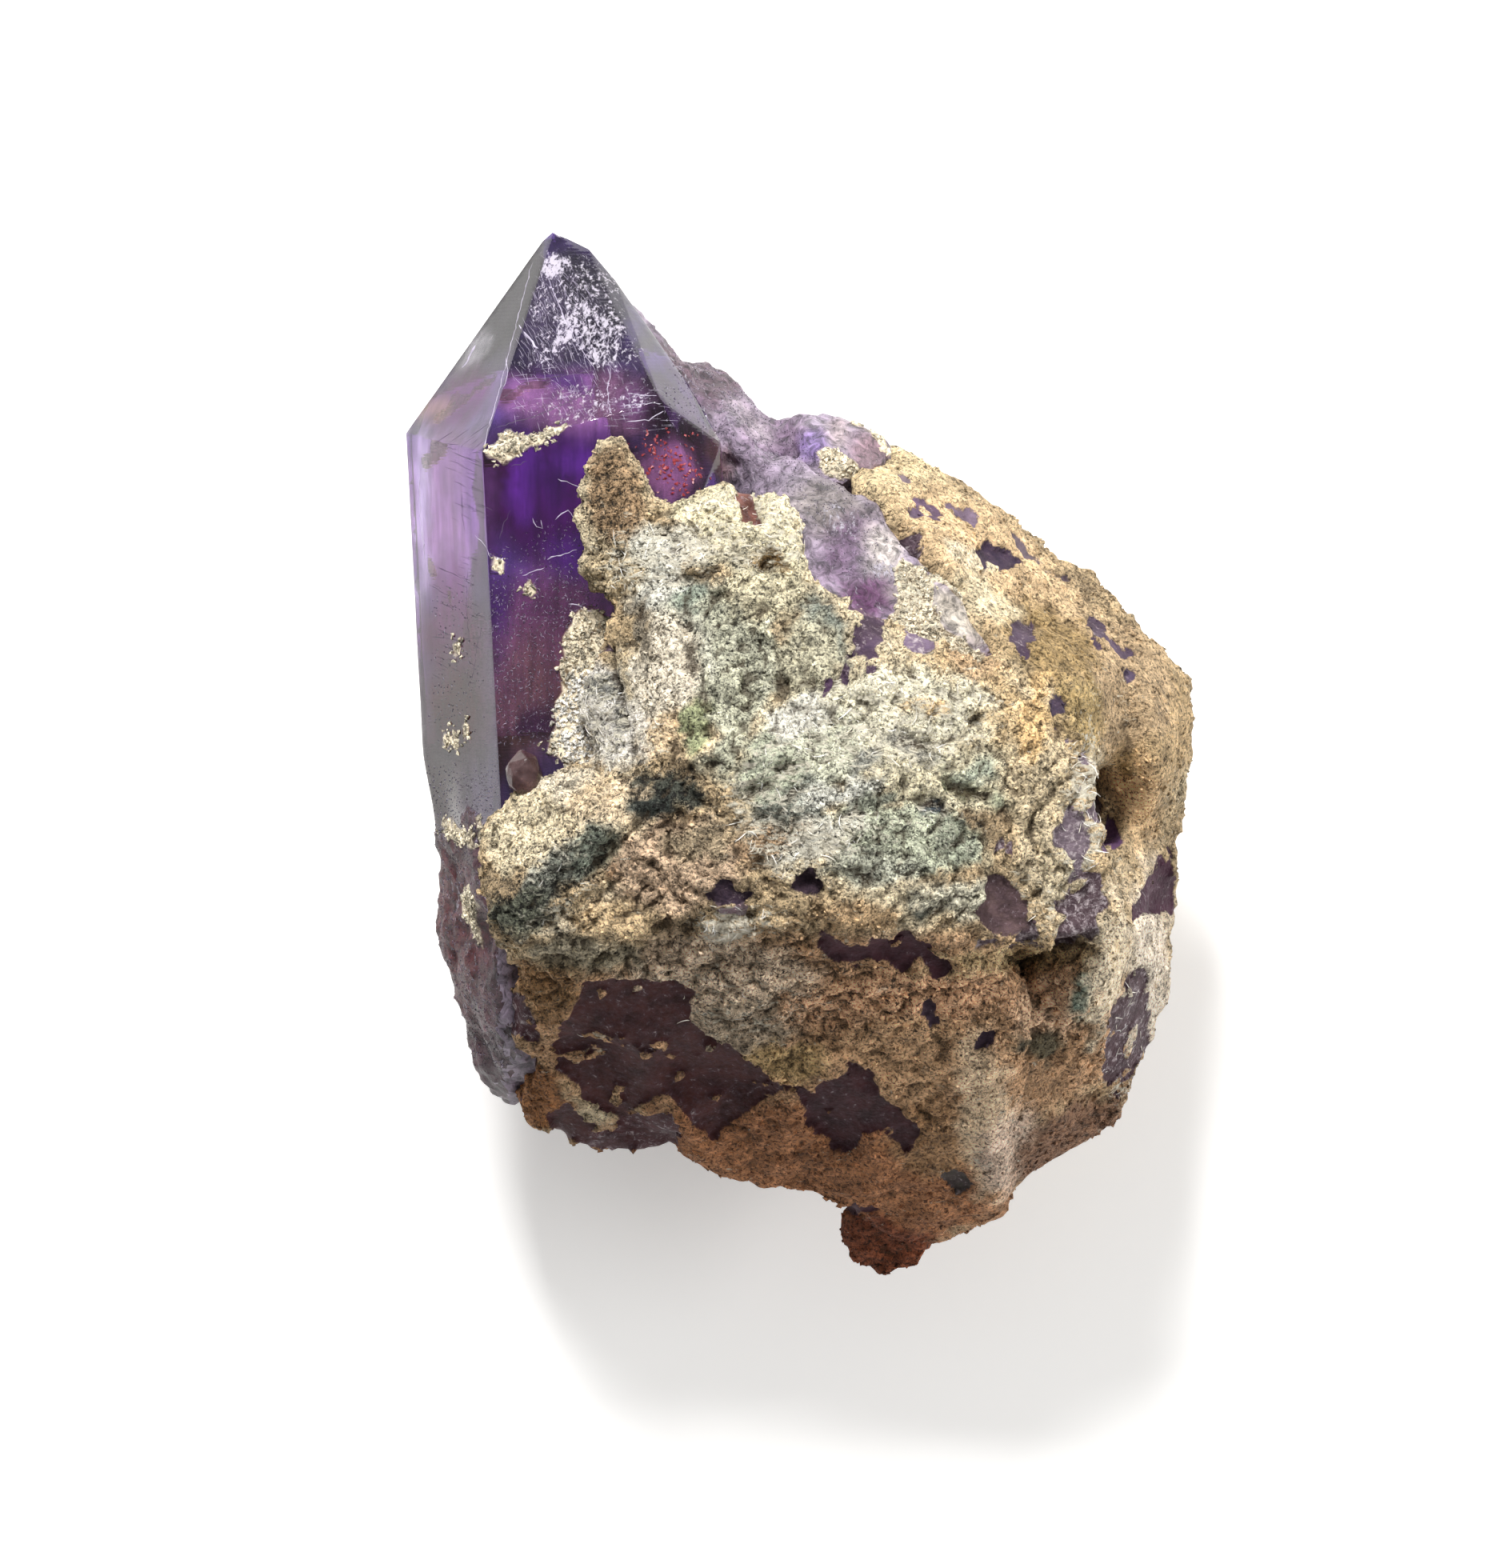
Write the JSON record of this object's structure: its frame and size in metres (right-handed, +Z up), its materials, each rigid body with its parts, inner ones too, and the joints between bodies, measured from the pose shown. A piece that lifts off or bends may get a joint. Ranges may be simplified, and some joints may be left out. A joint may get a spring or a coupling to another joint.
{
  "type": "amethyst crystal specimen on matrix",
  "caption": "Amethyst point with grown-together quartz, seated in a lump of crusted matrix rock; a hand specimen that lies on its back on a flat fracture.",
  "frame": {"origin": "middle of the specimen's box, on the surface that it lies on", "axes": "+Y towards the amethyst's tip, +Z up, away from the flat fracture, +X to the right of the side that is shown"},
  "size_m": [0.034, 0.0448, 0.0261],
  "materials": {
    "amethyst": "gloss",
    "weathered_matrix": "matte"
  },
  "bodies": {
    "root": {"amethyst_crystal": "amethyst", "matrix_rock": "weathered_matrix"}
  },
  "joints": []
}
